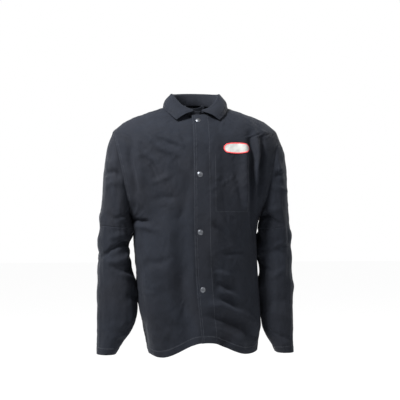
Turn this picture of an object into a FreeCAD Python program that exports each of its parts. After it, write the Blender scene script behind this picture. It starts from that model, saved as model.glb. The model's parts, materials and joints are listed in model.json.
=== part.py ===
import FreeCAD, Part

import math
import os

# Hip-length welding jacket of woven flame-resistant cotton, closed up as worn, empty inside.
# Millimetres. Origin: middle of the neck opening, level with the shoulder seams' inner ends.
# +X is the wearer's left, -Y the wearer's front, +Z up.

V = FreeCAD.Vector

# ---- driving dimensions -------------------------------------------------------------------
CLOTH = 2.0  # panel cloth with its seam allowances
LINING = 1.0  # facings, pocket and hem tapes
LAYER_GAP = 0.5  # between layers of one body
SEAM_GAP = 0.25  # half the gap between neighbouring panels
JOINT_GAP = 0.4  # half the gap between solids that turn against each other

HEM_Z = -706.0
HEM_RISE = 40.0  # the hem rides up at the front opening
HEM_DRIFT = 22.0  # the lower body hangs over to the wearer's left
NECK_H = 4.0
NECK_FRONT_DROP = 34.0
NECK_BACK_RISE = 12.0
NECK_FADE = 114.0  # height over which the dipped neckline levels out
ROUNDNESS = 2.2  # exponent of the body's oval sections
SLEEVE_ROUNDNESS = 2.15

TIP = (238.0, -74.0)  # X, Z of the shoulder point
PIT = (187.0, -318.0)  # X, Z of the armpit

# Body sections: height, half width, depth in front, depth behind.
BODY = [
    (4, 72, 66, 58),
    (-4, 102, 75, 69),
    (-19, 146, 85, 81),
    (-35, 188, 95, 91),
    (-52, 215, 104, 99),
    (-74, 238, 113, 106),
    (-120, 252, 125, 112),
    (-180, 252, 134, 116),
    (-250, 228, 139, 116),
    (-318, 187, 141, 115),
    (-380, 178, 141, 114),
    (-460, 177.5, 140, 113),
    (-560, 175.5, 139, 114),
    (-640, 169, 138, 116),
    (-706, 157, 137, 118),
]

# Sleeve sections: outer X and Z, inner X and Z, half depth in front and behind, middle Y.
SLEEVE_HEAD = [
    (238, -74, 187, -318, 78, 67, 0),
    (254, -122, 187.6, -321, 83, 76, 0),
    (264, -185, 188.2, -325, 84, 79, 0),
    (269, -250, 189, -331, 80, 77, 0),
    (273, -325, 190, -340, 74, 73, 0),
    (278, -404, 192, -404, 67, 66, 2),
]
# Forearm sections take the inner X of each side, because the cloth falls differently.
FOREARM = [
    (281, -460, 184, 191, 65, 62, 0),
    (283, -510, 172, 191, 63, 60, -4),
    (284, -560, 167, 191.5, 61, 58, -8),
    (284, -600, 169, 192, 58, 56, -12),
    (284, -640, 184, 198, 53, 51, -16),
    (284, -675, 209, 216, 46, 45, -20),
    (284, -706, 230, 234, 40, 39, -23),
]
ELBOW_Z = -404.0

# The left front turns back along a slanting line, from under the top snap to the hem.
FOLD_TOP = (-17.0, -60.0)  # X and section height
FOLD_FOOT = (120.0, -706.0)
FLAP_TOP = -86.0  # the turning part starts here, where it has some width
OVERLAP = 17.0  # each front passes the snap line by this much
LIFT = 7.0  # the left front lies this far above the right one where they overlap
LIFT_FROM, LIFT_TO = 74.0, 22.0  # X where the left front starts and ends rising over it
LIFT_FROM_TOP = 44.0  # it starts nearer the middle at the neck
FACING_WIDTH = 45.0
SNAP_Z = (-46.0, -196.0, -357.0, -517.0)

COLLAR_SPLIT = -48.5  # bearing on the neck where the part of the fall that turns up starts
COLLAR_END = -85.0
ROLL_SIDE_Z, ROLL_BACK_Z, ROLL_FRONT_Z = 37.0, 42.0, -14.0
COLLAR_POINT = V(62, -88, -29)
COLLAR_CLOTH = 2.4
STAND_GAP = 2.2  # the stand starts this far above the panels' neck edge

POCKET_X = (44.0, 138.0)
POCKET_Z = (-140.0, -300.0)
POCKET_ROOM = 18.0
PATCH_X = (70.0, 142.0)
PATCH_Z = (-104.0, -134.0)

CAP_R, CAP_DOME = 7.5, 2.0
SOCKET_R, SOCKET_HOLE_R, SOCKET_T = 6.2, 4.0, 2.4
STUD_FLANGE_R, STUD_FLANGE_T, STUD_R, STUD_H = 5.0, 0.5, 2.1, 1.7
BARREL_R, BARREL_HOLE_R = 1.5, 1.8
SEAT = 0.45  # flat snap parts stand this far off the curved cloth inside

CUFF_TURNS = (150.0, 52.0)  # hinge edge and free edge of the cuff fold
CUFF_TOP_Z = -648.0
CUFF_OUT = 4.2
CUFF_FOLD_T = 1.4
CUFF_SNAP_TURN = 76.0
CUFF_SPARE_TURN = 112.0  # the second stud, for a looser cuff
CUFF_SNAP_Z = -684.0
CUFF_SNAP_SCALE = 0.8  # cuff snaps are a size smaller

LOOP_HALF_SPAN, LOOP_SAG, LOOP_STAND_OFF = 30.0, 15.0, 13.0

os.makedirs("parts", exist_ok=True)


# ---- helpers ------------------------------------------------------------------------------
def smooth(t):
    t = max(0.0, min(1.0, t))
    return t * t * (3 - 2 * t)


def table(rows, at, column):
    """Value of a column at a height, through the rows by a monotone cubic."""
    hs = [r[0] for r in rows]
    ys = [r[column] for r in rows]
    at = max(min(at, hs[0]), hs[-1])
    slopes = [(ys[i + 1] - ys[i]) / (hs[i + 1] - hs[i]) for i in range(len(hs) - 1)]

    def tangent(i):
        if i == 0 or i == len(hs) - 1:
            return slopes[min(i, len(slopes) - 1)]
        a, b = slopes[i - 1], slopes[i]
        return 0.0 if a * b <= 0 else 2 * a * b / (a + b)

    i = next(k for k in range(len(hs) - 1) if at >= hs[k + 1])
    w = hs[i + 1] - hs[i]
    t = (at - hs[i]) / w
    return (
        (2 * t**3 - 3 * t**2 + 1) * ys[i]
        + (t**3 - 2 * t**2 + t) * w * tangent(i)
        + (3 * t**2 - 2 * t**3) * ys[i + 1]
        + (t**3 - t**2) * w * tangent(i + 1)
    )


def spaced(a, b, n):
    return [a + (b - a) * i / (n - 1) for i in range(n)]


def signed_power(v, p):
    return math.copysign(abs(v) ** p, v)


def drift(h):
    """Sideways hang of the body below the armpit."""
    s = max(0.0, (PIT[1] - h) / (PIT[1] - HEM_Z))
    return HEM_DRIFT * s**1.7


def body_point(bearing, h):
    """Outer face of the body at a bearing: 0 wearer's left, -90 front, 90 back, 180 right."""
    c, s = math.cos(math.radians(bearing)), math.sin(math.radians(bearing))
    a = table(BODY, h, 1)
    b = table(BODY, h, 2 if s < 0 else 3)
    x = drift(h) + a * signed_power(c, 2 / ROUNDNESS)
    y = b * signed_power(s, 2 / ROUNDNESS)
    dip = -NECK_FRONT_DROP if s < 0 else NECK_BACK_RISE
    z = h + dip * s * s * max(0.0, 1 + (h - NECK_H) / NECK_FADE)
    if s < 0:
        z += HEM_RISE * (-s) ** 5 * smooth((-460 - h) / (-460 - HEM_Z))
    return V(x, y, z)


def body_normal(bearing, h):
    d = 0.4
    round_it = body_point(bearing + d, h) - body_point(bearing - d, h)
    up = body_point(bearing, min(h + 1.0, NECK_H)) - body_point(bearing, max(h - 1.0, HEM_Z))
    n = round_it.cross(up)
    return n.normalize()


def body_at(bearing, h, out=0.0):
    return body_point(bearing, h) + body_normal(bearing, h) * out


def bearing_of_x(x, h):
    """Bearing on the front where the body has that X."""
    r = (x - drift(h)) / table(BODY, h, 1)
    r = max(-1.0, min(1.0, r))
    return -math.degrees(math.acos(signed_power(r, ROUNDNESS / 2)))


def fold_x(h):
    """X of the left front's fold line at a section height."""
    t = (h - FOLD_TOP[1]) / (FOLD_FOOT[1] - FOLD_TOP[1])
    return FOLD_TOP[0] + (FOLD_FOOT[0] - FOLD_TOP[0]) * t


def across_front(h, x):
    """Bearing on the front of a point that far left of the snap line."""
    return bearing_of_x(drift(h) + x, h)


def arm_edge(h, behind=False):
    """Bearing, off the side, where the armhole or side seam bounds a panel."""
    gap = math.degrees(SEAM_GAP / table(BODY, h, 3 if behind else 2))
    if PIT[1] < h < TIP[1]:
        plane_x = TIP[0] + (PIT[0] - TIP[0]) * (h - TIP[1]) / (PIT[1] - TIP[1])
        r = (plane_x - JOINT_GAP) / table(BODY, h, 1)
        if r < 1:
            return max(gap, math.degrees(math.acos(r ** (ROUNDNESS / 2))))
    return gap


def spline_poles(points):
    """Poles of a smooth cubic curve through evenly timed points; it depends on near ones only."""
    last = len(points) - 1
    slopes = [(points[i + 1] - points[i - 1]) * 0.5 for i in range(1, last)]
    first = (points[1] - points[0]) * 1.5 - slopes[0] * 0.5 if slopes else points[1] - points[0]
    final = (points[-1] - points[-2]) * 1.5 - slopes[-1] * 0.5 if slopes else first
    slopes = [first] + slopes + [final]
    poles = [points[0]]
    for i, (p, m) in enumerate(zip(points, slopes)):
        if i > 0:
            poles.append(p - m / 3)
        if i < last:
            poles.append(p + m / 3)
    return poles + [points[-1]]


def face_of(points):
    """Smooth face through a grid; two grids with the same end row share that edge exactly."""
    rows = [spline_poles(row) for row in points]
    columns = [spline_poles(list(column)) for column in zip(*rows)]
    poles = [list(row) for row in zip(*columns)]
    surface = Part.BSplineSurface()
    counts = (len(points), len(points[0]))
    mults = [[4] + [2] * (n - 2) + [4] for n in counts]
    knots = [list(range(n)) for n in counts]
    surface.buildFromPolesMultsKnots(
        poles, mults[0], mults[1], knots[0], knots[1], False, False, 3, 3
    )
    return surface.toShape()


def strip_between(one, other):
    """Face joining two curves, each through its own row of points."""
    surface = Part.BSplineSurface()
    n = len(one)
    surface.buildFromPolesMultsKnots(
        [spline_poles(one), spline_poles(other)],
        [2, 2], [4] + [2] * (n - 2) + [4], [0, 1], list(range(n)), False, False, 1, 3,
    )
    return surface.toShape()


def cloth(patches, ring_shaped=False):
    """Closed solid from patches of (outer, inner) point rows; neighbours share a row."""
    faces = []
    for k, rows in enumerate(patches):
        outer = [[p[0] for p in row] for row in rows]
        inner = [[p[1] for p in row] for row in rows]
        faces += [face_of(outer), face_of(inner)]
        for j in (0, -1):
            faces.append(strip_between([r[j] for r in outer], [r[j] for r in inner]))
        if k == 0 and not ring_shaped:
            faces.append(strip_between(outer[0], inner[0]))
        if k == len(patches) - 1 and not ring_shaped:
            faces.append(strip_between(outer[-1], inner[-1]))
    shell = Part.makeShell(faces)
    shell.sewShape()
    shell = shell if shell.ShapeType == "Shell" else shell.Shells[0]
    solid = Part.makeSolid(shell)
    if solid.Volume < 0:
        solid.reverse()
    if not solid.isValid():
        raise ValueError("a cloth panel is not a valid solid")
    return solid


def body_panel(lateral, medial, bands, out=lambda b, h: 0.0, thick=CLOTH, columns=13):
    """Panel of the body between two bearings that vary with height, in bands of height."""
    patches = []
    for top, foot, rows in bands:
        grid = []
        for h in spaced(top, foot, rows):
            row = []
            for b in spaced(lateral(h), medial(h), columns):
                o = out(b, h)
                row.append((body_at(b, h, o), body_at(b, h, o - thick)))
            grid.append(row)
        patches.append(grid)
    return cloth(patches)


def mirrored(shape):
    return shape.mirror(V(0, 0, 0), V(1, 0, 0))


def save(name, *shapes):
    shape = shapes[0] if len(shapes) == 1 else Part.makeCompound(list(shapes))
    shape.exportStep(f"parts/{name}.step")


def turned_to(shape, origin, normal):
    """Moves a shape built on +Z at the origin onto a point, facing along a normal."""
    shape = shape.copy()
    shape.Placement = FreeCAD.Placement(origin, FreeCAD.Rotation(V(0, 0, 1), normal))
    return shape


def disc(radius, low, high):
    return Part.makeCylinder(radius, high - low, V(0, 0, low))


def ring(radius, hole, low, high):
    return disc(radius, low, high).cut(disc(hole, low - 1, high + 1))


def domed(radius, low, rim, dome):
    """Button cap: a short rim with a round crown."""
    big = (radius**2 + dome**2) / (2 * dome)
    ball = Part.makeSphere(big, V(0, 0, low + rim + dome - big))
    crown = ball.common(disc(radius, low + rim, low + rim + dome + 1))
    return disc(radius, low, low + rim).fuse(crown).removeSplitter()


# ---- body panels --------------------------------------------------------------------------
BANDS = [(NECK_H, TIP[1], 15), (TIP[1], PIT[1], 11), (PIT[1], HEM_Z, 12)]


def make_back():
    panel = body_panel(
        lambda h: arm_edge(h, True), lambda h: 180 - arm_edge(h, True), BANDS, columns=25
    )
    save("back_panel", panel)


def left_lift(bearing, h):
    """Height of the left front over the body surface, which clears the right front below."""
    x = body_point(bearing, h).x - drift(h)
    start = LIFT_FROM + (LIFT_FROM_TOP - LIFT_FROM) * smooth((h - TIP[1]) / (NECK_H - TIP[1]))
    return LIFT * smooth((start - x) / (start - LIFT_TO))


def snap_height(z):
    """Section height whose front middle lies at that Z."""
    low, high = HEM_Z, NECK_H
    for _ in range(40):
        mid = (low + high) / 2
        if body_point(-90, mid).z < z:
            low = mid
        else:
            high = mid
    return (low + high) / 2


def snap_frame(z, out=0.0):
    h = snap_height(z)
    return body_at(-90, h, out), body_normal(-90, h)


def snap_holes(shape):
    for z in SNAP_Z:
        p, n = snap_frame(z)
        shape = shape.cut(turned_to(disc(BARREL_HOLE_R, -9, 12), p, n))
    return shape


def beside_fold(gap):
    return lambda h: bearing_of_x(fold_x(h) + gap, h)


def make_fronts():
    """Right front, and the left one in two parts that meet on the fold line."""
    bands = [(NECK_H, FOLD_TOP[1], 14), (FOLD_TOP[1], TIP[1], 4), *BANDS[1:]]

    def side_medial(h):
        fold = fold_x(h) + JOINT_GAP if h < FOLD_TOP[1] else -OVERLAP
        return bearing_of_x(max(fold, -OVERLAP), h)

    side = body_panel(lambda h: -arm_edge(h), side_medial, bands, left_lift, columns=27)
    save("left_front_side", snap_holes(side))
    flap_bands = [(FLAP_TOP, PIT[1], 10), (PIT[1], HEM_Z, 12)]
    flap = body_panel(
        beside_fold(-JOINT_GAP), lambda h: across_front(h, -OVERLAP), flap_bands, left_lift,
        columns=17,
    )
    save("left_front_flap", snap_holes(flap))
    right = body_panel(
        lambda h: -180 + arm_edge(h), lambda h: across_front(h, OVERLAP), BANDS, columns=21
    )
    save("right_front_panel", snap_holes(right))


def make_facings():
    """Second layer inside each front edge, which carries the snaps."""
    inner = FACING_WIDTH - OVERLAP
    edge = OVERLAP - 1.0
    top, foot = NECK_H - 4, HEM_Z + 4
    level = FOLD_TOP[1] + (inner + 2 - FOLD_TOP[0]) * (FOLD_FOOT[1] - FOLD_TOP[1]) / (
        FOLD_FOOT[0] - FOLD_TOP[0]
    )

    def under_left(b, h):
        return left_lift(b, h) - CLOTH - LAYER_GAP

    def upper_medial(h):
        return bearing_of_x(max(-edge, fold_x(h) + 2), h)

    upper = body_panel(
        lambda h: across_front(h, inner),
        upper_medial,
        [(top, FOLD_TOP[1], 13), (FOLD_TOP[1], TIP[1], 4), (TIP[1], level + 30, 8)],
        under_left,
        LINING,
        9,
    )
    save("left_facing_top", snap_holes(upper))
    lower = body_panel(
        lambda h: bearing_of_x(min(fold_x(h) - 2, drift(h) + inner), h),
        lambda h: across_front(h, -edge),
        [(FLAP_TOP - 14, level, 8), (level, foot, 14)],
        under_left,
        LINING,
        9,
    )
    save("left_facing_flap", snap_holes(lower))
    right = body_panel(
        lambda h: across_front(h, -inner),
        lambda h: across_front(h, edge),
        [(top, TIP[1], 15), (TIP[1], PIT[1], 11), (PIT[1], foot, 12)],
        lambda b, h: -CLOTH - LAYER_GAP,
        LINING,
        9,
    )
    save("right_front_facing", snap_holes(right))


def make_front_snaps():
    under_left = LIFT - CLOTH - LAYER_GAP - LINING - SEAT
    under_right = -CLOTH - LAYER_GAP - LINING - SEAT
    for i, z in enumerate(SNAP_Z, 1):
        p, n = snap_frame(z)
        cap = domed(CAP_R, LIFT + 0.1, 0.5, CAP_DOME).fuse(
            disc(BARREL_R, under_left - 0.6, LIFT + 0.2)
        )
        socket = ring(SOCKET_R, SOCKET_HOLE_R, under_left - SOCKET_T, under_left).fuse(
            ring(SOCKET_R, BARREL_HOLE_R, under_left - 0.5, under_left)
        )
        stud = (
            disc(STUD_FLANGE_R, 0.1, 0.1 + STUD_FLANGE_T)
            .fuse(domed(STUD_R, 0.1 + STUD_FLANGE_T, STUD_H - 0.9, 0.9))
            .fuse(disc(BARREL_R, under_right - 0.8, 0.3))
        )
        post = ring(STUD_FLANGE_R, BARREL_HOLE_R, under_right - 1.0, under_right)
        for name, piece in (
            ("cap", cap),
            ("socket", socket),
            ("stud", stud),
            ("post", post),
        ):
            save(f"front_snap_{i}_{name}", turned_to(piece.removeSplitter(), p, n))


# ---- collar -------------------------------------------------------------------------------
def roll_point(bearing):
    """Fold line of the collar, where the stand turns over into the fall."""
    s = math.sin(math.radians(bearing))
    end = ROLL_FRONT_Z if s < 0 else ROLL_BACK_Z
    z = ROLL_SIDE_Z + (end - ROLL_SIDE_Z) * s * s
    base = body_point(bearing, NECK_H)
    inward = 0.94 if s >= 0 else 0.94 + 0.12 * s * s
    return V(base.x * inward, base.y * inward, z)


def stand_point(bearing, t):
    """The stand between the neck seam, t 0, and the fold line, t 1."""
    foot = body_point(bearing, NECK_H) + V(0, 0, STAND_GAP)
    return foot + (roll_point(bearing) - foot) * t


def outward(bearing):
    c, s = math.cos(math.radians(bearing)), math.sin(math.radians(bearing))
    return V(c, s, 0)


def fall_edge(bearing):
    """Lower edge of the fall; in front it runs out straight to the collar point."""
    c, s = math.cos(math.radians(bearing)), math.sin(math.radians(bearing))
    if s >= 0:
        return V(89 * c, 84 * s, 3 + 6 * s * s)
    c, s = (
        (c, s) if bearing >= COLLAR_SPLIT
        else (math.cos(math.radians(COLLAR_SPLIT)), math.sin(math.radians(COLLAR_SPLIT)))
    )
    side = V(89 * c, 80 * s, 3 - 24 * s * s)
    t = max(0.0, (COLLAR_SPLIT - bearing) / (COLLAR_SPLIT - COLLAR_END))
    return side * (1 - t) + COLLAR_POINT * t


def fall_point(bearing, t):
    """The fall from the fold line, t 0, out and down to its edge, t 1."""
    root = roll_point(bearing) + outward(bearing) * 5.0 - V(0, 0, 1.5)
    edge = fall_edge(bearing)
    bulge = 4.0 * math.sin(math.pi * t)
    return root + (edge - root) * t + (outward(bearing) + V(0, 0, 0.6)) * bulge


def strip(point, bearings, thick):
    """Closed solid along the collar, from a surface of bearing and t."""
    rows = []
    for b in bearings:
        row = []
        for t in spaced(0, 1, 6):
            p = point(b, t)
            d = 0.02
            along = point(b + 1, t) - point(b - 1, t)
            down = point(b, min(1, t + d)) - point(b, max(0, t - d))
            n = along.cross(down).normalize()
            if point(0, 1).z < point(0, 0).z:
                n = n * -1
            row.append((p + n * (thick / 2), p - n * (thick / 2)))
        rows.append(row)
    return cloth([rows])


def make_collar():
    back = spaced(COLLAR_SPLIT, 180 - COLLAR_SPLIT, 31)
    front = spaced(COLLAR_SPLIT - 1.8, COLLAR_END, 8)
    around = spaced(COLLAR_END, 180 - COLLAR_END, 45)
    save("collar_stand", strip(stand_point, around, CLOTH))
    save("collar_fall", strip(fall_point, back, COLLAR_CLOTH))
    fall = strip(fall_point, front, COLLAR_CLOTH)
    save("left_collar_point", fall)
    save("right_collar_point", mirrored(fall))


# ---- sleeves ------------------------------------------------------------------------------
def sleeve_rows(side):
    """Section rows of one sleeve, side +1 for the wearer's left."""
    arm = [(*r, 1.0 if k == 0 else 0.0) for k, r in enumerate(SLEEVE_HEAD)]
    low = [
        (r[0], r[1], r[3] if side > 0 else r[2], r[1], r[4], r[5], r[6], 0.0)
        for r in FOREARM
    ]
    return arm, [arm[-1]] + low


def armhole_depth(share, in_front):
    """Distance of the body's armhole edge from the middle plane; share runs from tip to pit."""
    h = TIP[1] + (PIT[1] - TIP[1]) * share
    x = TIP[0] + (PIT[0] - TIP[0]) * share
    r = min(1.0, x / table(BODY, h, 1))
    return table(BODY, h, 2 if in_front else 3) * (1 - r**ROUNDNESS) ** (1 / ROUNDNESS)


def section_point(row, turn, inset=0.0):
    """Point of a sleeve section: turn 0 outer side, 90 back, 180 body side, -90 front."""
    ox, oz, ix, iz, front, behind, mid, sewn = row
    outer, inner = V(ox, 0, oz), V(ix, 0, iz)
    half = (outer - inner) * 0.5
    half_length = half.Length
    c, s = math.cos(math.radians(turn)), math.sin(math.radians(turn))
    depth = (front if s < 0 else behind) - inset
    along = half * ((half_length - inset) / half_length)
    centre = (outer + inner) * 0.5 + V(0, mid, 0)
    power = 2 / SLEEVE_ROUNDNESS
    reach = depth * abs(s) ** power
    if sewn > 0:
        edge = armhole_depth((1 - signed_power(c, power)) / 2, s < 0) - inset * abs(s) ** power
        reach = reach + (edge - reach) * sewn
    return centre + along * signed_power(c, power) + V(0, math.copysign(reach, s), 0)


def blended_row(rows, u):
    """A section between stations: u counts stations, through a Catmull-Rom curve."""
    i = min(int(u), len(rows) - 2)
    t = u - i
    a, b = rows[max(i - 1, 0)], rows[i]
    c, d = rows[i + 1], rows[min(i + 2, len(rows) - 1)]
    out = []
    for p, q, r, s in zip(a, b, c, d):
        m, n = (r - p) / 2, (s - q) / 2
        out.append(
            (2 * t**3 - 3 * t**2 + 1) * q
            + (t**3 - 2 * t**2 + t) * m
            + (3 * t**2 - 2 * t**3) * r
            + (t**3 - t**2) * n
        )
    return tuple(out)


def sleeve_patch(rows, stations, turns, thick=CLOTH, out=0.0):
    """Grid of a sleeve's cloth: a row for each turn, points along the sleeve."""
    sections = [blended_row(rows, u) for u in stations]
    return [
        [(section_point(s, a, -out), section_point(s, a, thick - out)) for s in sections]
        for a in turns
    ]


def tube(rows, stations, thick=CLOTH, out=0.0):
    halves = [spaced(0, 180, 13), spaced(180, 360, 13)]
    return cloth([sleeve_patch(rows, stations, t, thick, out) for t in halves], True)


def nudge(row, dx, dz):
    """A sleeve section moved in X and Z."""
    return (row[0] + dx, row[1] + dz, row[2] + dx, row[3] + dz) + tuple(row[4:])


def station_of_z(rows, z):
    low, high = 0.0, len(rows) - 1.0
    for _ in range(40):
        mid = (low + high) / 2
        if blended_row(rows, mid)[1] > z:
            low = mid
        else:
            high = mid
    return (low + high) / 2


def cuff_frame(rows, turn, z):
    """Point and outward normal on the sleeve's outer face."""
    u = station_of_z(rows, z)
    section = blended_row(rows, u)
    p = section_point(section, turn)
    along = section_point(section, turn + 1) - section_point(section, turn - 1)
    up = section_point(blended_row(rows, u - 0.05), turn) - p
    return p, along.cross(up).normalize()


def make_sleeve(side, prefix):
    arm, low = sleeve_rows(side)
    plane = V(TIP[1] - PIT[1], 0, -(TIP[0] - PIT[0])).normalize()  # out of the armhole
    arm[0] = nudge(arm[0], plane.x * JOINT_GAP, plane.z * JOINT_GAP)
    last = len(arm) - 1
    end = list(arm[last])
    end[1], end[3] = ELBOW_Z + JOINT_GAP, ELBOW_Z + JOINT_GAP
    arm[last] = tuple(end)
    start = list(low[0])
    start[1], start[3] = ELBOW_Z - JOINT_GAP, ELBOW_Z - JOINT_GAP
    low[0] = tuple(start)
    upper = tube(arm, spaced(0, last, 9))
    lower = tube(low, spaced(0, len(low) - 1, 12))
    hem_from = station_of_z(low, HEM_Z + 26)
    hem = tube(
        low, spaced(hem_from, len(low) - 1.02, 4), LINING, -CLOTH - LAYER_GAP
    )

    fold_from = station_of_z(low, CUFF_TOP_Z)
    fold_stations = spaced(fold_from, len(low) - 1, 5)
    fold_turns = spaced(*CUFF_TURNS, 9)
    fold_out = CUFF_OUT + CUFF_FOLD_T
    fold = cloth([sleeve_patch(low, fold_stations, fold_turns, CUFF_FOLD_T, fold_out)])
    p, n = cuff_frame(low, CUFF_SNAP_TURN, CUFF_SNAP_Z)
    q, m = cuff_frame(low, CUFF_SPARE_TURN, CUFF_SNAP_Z)
    through = disc(BARREL_HOLE_R, -9, 12)
    fold = fold.cut(turned_to(through, p, n))
    for at, facing in ((p, n), (q, m)):
        lower = lower.cut(turned_to(through, at, facing))
        hem = hem.cut(turned_to(through, at, facing))
    top = CUFF_OUT + CUFF_FOLD_T
    under = CUFF_OUT - 1.5 * SEAT
    small = CUFF_SNAP_SCALE
    cap = domed(CAP_R * small, top + 0.1, 0.5, CAP_DOME * small).fuse(
        disc(BARREL_R, under - 0.6, top + 0.2)
    )
    socket = ring(SOCKET_R * small, SOCKET_HOLE_R * small, under - SOCKET_T, under).fuse(
        ring(SOCKET_R * small, BARREL_HOLE_R, under - 0.5, under)
    )
    inside = -CLOTH - LAYER_GAP - LINING - SEAT
    stud = (
        disc(STUD_FLANGE_R * small, 0.1, 0.6)
        .fuse(domed(STUD_R * 0.85, 0.6, 0.5, 0.8))
        .fuse(disc(BARREL_R, inside - 0.8, 0.3))
    )
    post = ring(STUD_FLANGE_R * small, BARREL_HOLE_R, inside - 1.0, inside)
    pieces = {
        "sleeve_upper": [upper],
        "sleeve_lower": [lower],
        "cuff_hem": [hem],
        "cuff_fold": [fold],
        "cuff_snap_cap": [turned_to(cap, p, n)],
        "cuff_snap_socket": [turned_to(socket, p, n)],
        "cuff_snap_studs": [turned_to(stud, p, n), turned_to(stud, q, m)],
        "cuff_snap_posts": [turned_to(post, p, n), turned_to(post, q, m)],
    }
    for name, shapes in pieces.items():
        if side < 0:
            shapes = [mirrored(s) for s in shapes]
        save(f"{prefix}_{name}", *shapes)


# ---- small pieces -------------------------------------------------------------------------
def pocket_depth(bearing, h):
    """How far the pocket cloth stands off the front: open at the mouth, closed elsewhere."""
    x = body_point(bearing, h).x - drift(h)
    across = (x - POCKET_X[0]) / (POCKET_X[1] - POCKET_X[0])
    up = (h - POCKET_Z[1]) / (POCKET_Z[0] - POCKET_Z[1])
    room = POCKET_ROOM * math.sin(math.pi * max(0.0, min(1.0, across))) * smooth(up * 2.5)
    return left_lift(bearing, h) - CLOTH - LAYER_GAP - room


def make_pocket():
    pocket = body_panel(
        lambda h: across_front(h, POCKET_X[1]),
        lambda h: across_front(h, POCKET_X[0]),
        [(*POCKET_Z, 11)],
        pocket_depth,
        LINING,
        11,
    )
    save("inner_pocket", pocket)


def make_trim():
    patch = body_panel(
        lambda h: bearing_of_x(PATCH_X[1], h),
        lambda h: bearing_of_x(PATCH_X[0], h),
        [(*PATCH_Z, 7)],
        lambda b, h: left_lift(b, h) + 1.5,
        1.2,
        9,
    )
    save("chest_patch", patch)
    under = -CLOTH - LAYER_GAP
    label = body_panel(
        lambda h: -bearing_of_x(26, h),
        lambda h: -bearing_of_x(-26, h),
        [(-4, -26, 4)],
        lambda b, h: under,
        0.8,
        7,
    )
    save("neck_label", label)
    care = body_panel(
        lambda h: 152, lambda h: 166, [(-560, -620, 5)], lambda b, h: under, 0.8, 5
    )
    save("care_label", care)


def make_hanger_loop():
    """A narrow tape that hangs in an arc inside the back of the neck."""
    base = body_at(90, NECK_H - 2, -CLOTH - 0.4)
    ends = [base + V(s * LOOP_HALF_SPAN, -7.0, 0.0) for s in (-1, 1)]
    middle = base + V(0, -LOOP_STAND_OFF, -LOOP_SAG)
    arc = Part.Arc(ends[0], middle, ends[1]).toShape()
    start = arc.tangentAt(arc.FirstParameter)
    flat = Part.makePolygon(
        [V(-3, -0.6, 0), V(3, -0.6, 0), V(3, 0.6, 0), V(-3, 0.6, 0), V(-3, -0.6, 0)]
    )
    flat.Placement = FreeCAD.Placement(ends[0], FreeCAD.Rotation(V(0, 0, 1), start))
    loop = Part.Wire(arc).makePipeShell([flat], True, False)
    save("hanger_loop", loop)


make_back()
make_fronts()
make_facings()
make_front_snaps()
make_collar()
make_sleeve(1, "left")
make_sleeve(-1, "right")
make_pocket()
make_trim()
make_hanger_loop()
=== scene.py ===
import json
import math

import bpy
import numpy as np
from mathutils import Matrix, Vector, noise


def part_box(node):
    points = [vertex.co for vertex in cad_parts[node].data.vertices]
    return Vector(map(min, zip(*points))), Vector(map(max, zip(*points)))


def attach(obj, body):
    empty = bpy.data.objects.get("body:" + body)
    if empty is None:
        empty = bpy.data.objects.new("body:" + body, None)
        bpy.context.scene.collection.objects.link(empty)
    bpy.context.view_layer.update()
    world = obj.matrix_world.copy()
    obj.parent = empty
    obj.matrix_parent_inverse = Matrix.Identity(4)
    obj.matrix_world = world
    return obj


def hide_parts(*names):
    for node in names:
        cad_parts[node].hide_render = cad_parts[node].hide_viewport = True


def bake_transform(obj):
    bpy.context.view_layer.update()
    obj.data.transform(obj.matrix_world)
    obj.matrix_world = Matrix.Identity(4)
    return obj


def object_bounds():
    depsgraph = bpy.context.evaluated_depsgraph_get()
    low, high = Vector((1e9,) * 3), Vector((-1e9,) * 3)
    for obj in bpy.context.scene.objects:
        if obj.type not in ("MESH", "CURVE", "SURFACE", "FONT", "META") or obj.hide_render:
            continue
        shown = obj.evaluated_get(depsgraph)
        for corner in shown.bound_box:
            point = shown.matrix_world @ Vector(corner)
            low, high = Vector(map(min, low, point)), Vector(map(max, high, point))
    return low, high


# Welding jacket of woven cotton: cloth panels, seams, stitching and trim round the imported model.
# Shapes are worked out in millimetres in the model's own frame and become metres in the meshes.

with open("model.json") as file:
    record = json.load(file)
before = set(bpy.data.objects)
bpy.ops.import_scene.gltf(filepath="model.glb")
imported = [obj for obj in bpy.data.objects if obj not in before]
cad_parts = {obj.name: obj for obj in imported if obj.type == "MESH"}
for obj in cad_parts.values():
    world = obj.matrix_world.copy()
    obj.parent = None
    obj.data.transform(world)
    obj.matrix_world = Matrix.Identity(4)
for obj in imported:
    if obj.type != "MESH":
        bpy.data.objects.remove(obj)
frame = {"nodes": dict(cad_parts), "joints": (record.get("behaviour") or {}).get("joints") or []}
cad_low, cad_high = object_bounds()
MM = 0.001
MIRROR = np.array([-1.0, 1.0, 1.0])

# ---- pattern of the jacket ----
CLOTH = 1.3
HEM_Z, HEM_RISE, HEM_DRIFT = -706.0, 40.0, 22.0
HEM_CREST, HEM_CREST_X = 7.0, -104.0  # the hem hangs lowest on the wearer's right
SIDE_HEM_RISE, BACK_HEM_RISE = 8.0, 12.0
NECK_H, NECK_FRONT_DROP, NECK_BACK_RISE, NECK_FADE = 4.0, 34.0, 12.0, 114.0
BODY_POWER, SLEEVE_POWER = 2.2, 2.15
TIP, PIT = (238.0, -74.0), (187.0, -318.0)
OVERLAP, LIFT = 17.0, 7.0
LIFT_FROM, LIFT_TO, LIFT_FROM_TOP = 74.0, 22.0, 44.0
FACING_WIDTH = 45.0

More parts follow.
